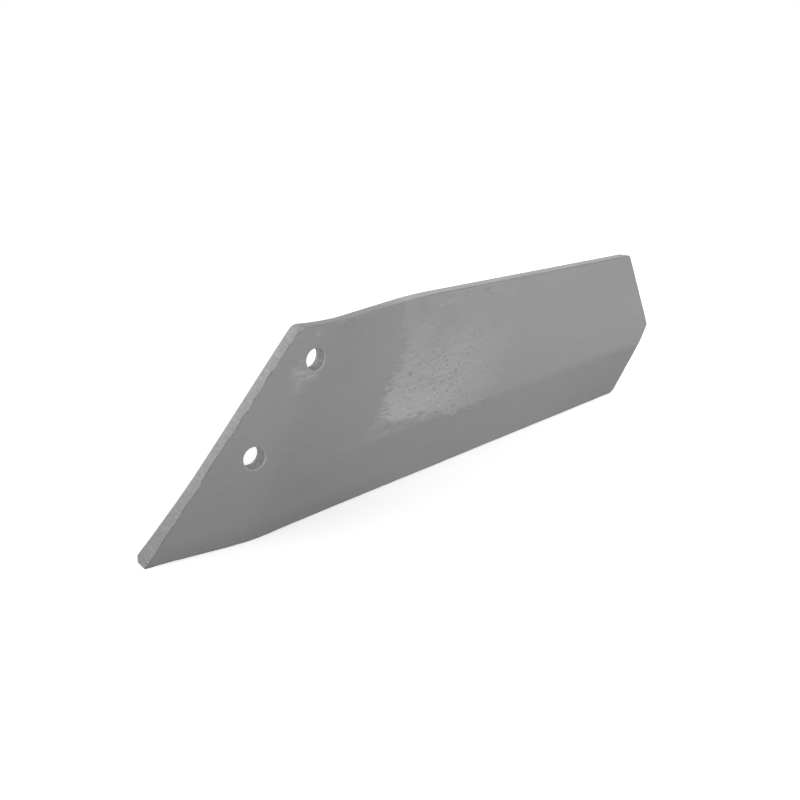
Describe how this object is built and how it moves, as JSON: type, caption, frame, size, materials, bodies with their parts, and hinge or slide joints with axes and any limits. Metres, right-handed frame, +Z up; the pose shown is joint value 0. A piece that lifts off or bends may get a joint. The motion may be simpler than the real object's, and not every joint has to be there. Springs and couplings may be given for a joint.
{
  "type": "side share",
  "caption": "Hot-formed flat bar wing share with a slanted bolt-on flange, a bend, a wing with a lengthwise ridge and a blunt pointed tail.",
  "frame": {"origin": "middle of the bolt pattern on the back face of the mounting flange", "axes": "+X along the share from its sharp tip to the tail, +Y square out of the flange's back face, +Z up from the long lower edge, which the share stands on"},
  "size_m": [0.5301, 0.1266, 0.12],
  "materials": {
    "painted_steel": "satin grey coat over hot-formed steel with scale pits, dings and sheared edges"
  },
  "bodies": {
    "root": {"side_share": "painted_steel"}
  },
  "joints": []
}
